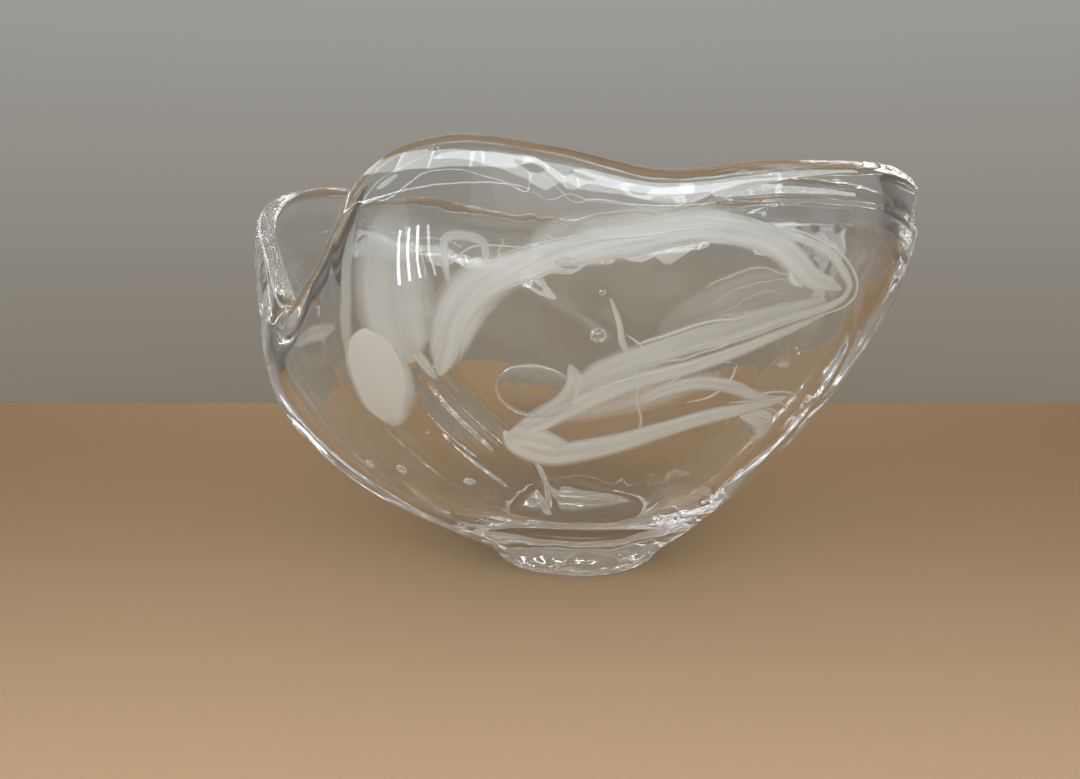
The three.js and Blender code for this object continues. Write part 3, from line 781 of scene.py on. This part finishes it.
# Loose threads that branch off a trail, as routes of [azimuth, climb, half width, density].
THREADS = {
    "upper_ribbon": [
        [(303, 0.905, 0.2, 0.4), (312, 0.885, 0.3, 0.7), (321, 0.84, 0.35, 0.7),
         (326.5, 0.785, 0.35, 0.7), (325.5, 0.748, 0.35, 0.7), (318, 0.727, 0.3, 0.6)],
        [(244, 0.81, 0.2, 0.4), (249, 0.836, 0.22, 0.6), (258.3, 0.842, 0.2, 0.6)],
    ],
    "third_ribbon": [
        [(285, 0.608, 0.25, 0.6), (291.5, 0.645, 0.28, 0.8), (296.5, 0.662, 0.28, 0.8),
         (302, 0.655, 0.25, 0.7)],
        [(303.5, 0.65, 0.2, 0.6), (303, 0.618, 0.3, 0.9), (299.5, 0.59, 0.3, 0.8),
         (293.5, 0.583, 0.2, 0.5)],
    ],
    "crossing_strand": [
        [(279, 0.68, 0.4, 0.3), (281.5, 0.635, 0.5, 0.4), (281.5, 0.595, 0.45, 0.4),
         (283.5, 0.552, 0.4, 0.4), (283, 0.52, 0.3, 0.3)],
        [(277.5, 0.72, 0.25, 0.4), (281, 0.7, 0.3, 0.6), (281.5, 0.672, 0.3, 0.6),
         (279.5, 0.655, 0.25, 0.4)],
    ],
    "brushed_hook": [
        [(305, 0.57, 0.25, 0.5), (313, 0.567, 0.35, 0.8), (320, 0.556, 0.3, 0.8),
         (324.5, 0.535, 0.25, 0.6)],
        [(308, 0.56, 0.25, 0.5), (315, 0.553, 0.35, 0.8), (321, 0.535, 0.3, 0.7),
         (323.5, 0.512, 0.2, 0.5)],
        [(313, 0.54, 0.25, 0.5), (317, 0.51, 0.35, 0.8), (318.5, 0.478, 0.3, 0.6)],
    ],
    "lower_ribbon": [
        [(309, 0.573, 0.25, 0.5), (316, 0.583, 0.35, 0.8), (323, 0.573, 0.35, 0.8),
         (327, 0.548, 0.25, 0.6)],
    ],
}
PALE = ("white_veil", "left_streak", "left_band", "return_band")


# ---- scene ------------------------------------------------------------------------------------------

# The backdrop's colours from the horizon upwards, over this span of its directions' heights, and where
# in that span it is palest.
BACKDROP_SPAN = (-0.18, 0.6)
BACKDROP_LOW = (0.212, 0.185, 0.145)
BACKDROP_PALE = (0.335, 0.33, 0.31)
BACKDROP_PALE_BAND = (0.49, 0.68)
BACKDROP_OVERHEAD = (0.26, 0.215, 0.165)
# How bright it is at the sides and at the front, beside its back.
SIDE_LIGHT = 0.4
FRONT_LIGHT = 1.2

CAMERA_PLACE = (-0.0096, -0.257, 0.088)
CAMERA_LENS = 33.33
CAMERA_SENSOR = 36
CAMERA_DOWN = 9.8

GLASS_BOUNCES = 128
SEE_THROUGH_BOUNCES = 64


def make_table():
    """A plain pale table top whose back edge shows behind the bowl."""
    back, front, side, thick = 0.214, -0.9, 0.9, 0.03
    corners = [(x, y, z) for z in (0, -thick)
               for x, y in ((-side, front), (side, front), (side, back), (-side, back))]
    faces = [(0, 1, 2, 3), (7, 6, 5, 4), (0, 4, 5, 1), (1, 5, 6, 2), (2, 6, 7, 3), (3, 7, 4, 0)]
    mesh = bpy.data.meshes.new("table_top")
    mesh.from_pydata(corners, [], faces)
    made = bpy.data.objects.new("table_top", mesh)
    bpy.context.scene.collection.objects.link(made)
    made.data.materials.append(plain_material("pale_table", TABLE_COLOUR))


def softbox(name, azimuth, elevation, distance, width, height, power, colour=(1, 1, 1), gloss_only=False,
            target=(0, 0, 0.06)):
    """A rectangular lamp that faces its target from the given direction, in degrees and metres.  It
    either lights the white glass and the table or, where it is only for gloss, shows in the clear glass."""
    light = bpy.data.lights.new(name, "AREA")
    light.shape = "RECTANGLE"
    light.size = width
    light.size_y = height
    light.energy = power
    light.color = colour
    made = bpy.data.objects.new(name, light)
    turn, rise = math.radians(azimuth), math.radians(elevation)
    across = distance * math.cos(rise)
    target = Vector(target)
    made.location = target + Vector((across * math.cos(turn), across * math.sin(turn),
                                     distance * math.sin(rise)))
    made.rotation_mode = "QUATERNION"
    made.rotation_quaternion = (target - made.location).to_track_quat("-Z", "Y")
    made.visible_camera = False
    made.visible_diffuse = not gloss_only
    made.visible_glossy = gloss_only
    made.visible_transmission = gloss_only
    bpy.context.scene.collection.objects.link(made)


def make_soft_lamps():
    """Soft light on the table before and behind the bowl, and on the front and the back of the white
    glass."""
    overhead = 90
    softbox("key", -90, overhead, 0.19, 0.6, 0.14, 0.66, (0.93, 0.98, 1), target=(-0.03, -0.225, 0))
    softbox("front_fill", -100, 12, 0.5, 0.3, 0.2, 0.3, (0.86, 0.95, 1), target=(0, 0, 0.08))
    softbox("back_fill", -90, overhead, 0.2, 0.9, 0.08, 0.1, target=(0, 0.27, 0))
    softbox("rear_fill", 95, 10, 0.5, 0.3, 0.2, 0.42, (0.9, 0.96, 1), target=(0, 0, 0.08))


def make_reflections():
    """The room that shows in the clear glass: a pale wall in front, a row of windows with a bright sill
    under each, and three long tubes, which show as three strips on the left lobe."""
    window_colour = (0.9, 0.95, 1)
    full, dimmed = 1.0, 0.45
    softbox("room", -90, 5, 1.5, 2.6, 1.2, 6.5, (1, 0.98, 0.94), gloss_only=True)
    for turn in range(-220, -10, 25):
        power = full if turn > -180 else dimmed
        softbox(f"window_{-turn}", turn, 23, 1.0, 0.44, 0.12, power, window_colour, gloss_only=True)
        softbox(f"sill_{-turn}", turn, 13, 1.0, 0.44, 0.008, 0.1, window_colour, gloss_only=True)
    for turn in (-159, -154.5, -150):
        softbox(f"strip_{round(-turn)}", turn, -4.5, 0.275, 0.006, 0.08, 0.023, gloss_only=True)


def make_world():
    """A plain backdrop, warm near the table and overhead and pale between.  It darkens towards the
    sides, which draws the darker lines along the bowl's edges."""
    world = bpy.data.worlds.new("studio")
    world.use_nodes = True
    tree = world.node_tree
    direction = axes(tree, node(tree, "ShaderNodeTexCoord").outputs["Generated"])
    height = map_range(tree, direction["Z"], BACKDROP_SPAN, (0, 1))
    shade = node(tree, "ShaderNodeValToRGB")
    shade.color_ramp.elements[0].color = (*BACKDROP_LOW, 1)
    shade.color_ramp.elements[1].color = (*BACKDROP_OVERHEAD, 1)
    for position in BACKDROP_PALE_BAND:
        shade.color_ramp.elements.new(position).color = (*BACKDROP_PALE, 1)
    tree.links.new(height, shade.inputs["Fac"])
    sideways = calculate(tree, "ABSOLUTE", direction["X"])
    side = map_range(tree, sideways, (0.5, 0.9), (1, SIDE_LIGHT), smooth=True)
    front = map_range(tree, direction["Y"], (-0.5, 0.4), (FRONT_LIGHT, 1), smooth=True)
    background = tree.nodes["Background"]
    tree.links.new(shade.outputs["Color"], background.inputs["Color"])
    tree.links.new(calculate(tree, "MULTIPLY", side, front), background.inputs["Strength"])
    bpy.context.scene.world = world


def make_camera():
    """A wide lens close in front of the bowl, looking slightly down."""
    data = bpy.data.cameras.new("camera")
    data.sensor_width = CAMERA_SENSOR
    data.lens = CAMERA_LENS
    data.clip_start = 0.01
    made = bpy.data.objects.new("camera", data)
    made.location = CAMERA_PLACE
    made.rotation_euler = (math.radians(90 - CAMERA_DOWN), 0, 0)
    bpy.context.scene.collection.objects.link(made)
    bpy.context.scene.camera = made


def set_light_paths():
    """Enough bounces for light to cross the bowl's many nested glass faces."""
    scene = bpy.context.scene
    scene.view_settings.view_transform = "Standard"
    scene.cycles.max_bounces = GLASS_BOUNCES
    scene.cycles.transmission_bounces = GLASS_BOUNCES
    scene.cycles.glossy_bounces = GLASS_BOUNCES
    scene.cycles.transparent_max_bounces = SEE_THROUGH_BOUNCES


make_camera()
make_world()
make_table()
set_light_paths()
make_soft_lamps()
make_reflections()

body = make_glass_body()
body.data.materials.append(clear_glass_material())
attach(body, "root")
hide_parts("outer_casing", "inner_gather", "applied_foot")

white = white_glass_material("white_enamel_glass", ENAMEL_WHITE)
pale = white_glass_material("pale_enamel_glass", ENAMEL_PALE)
for seed, name in enumerate(TRAILS):
    trail = make_trail(name, seed)
    is_pale = name in PALE
    trail.data.materials.append(pale if is_pale else white)
    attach(trail, "root")
    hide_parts(name)
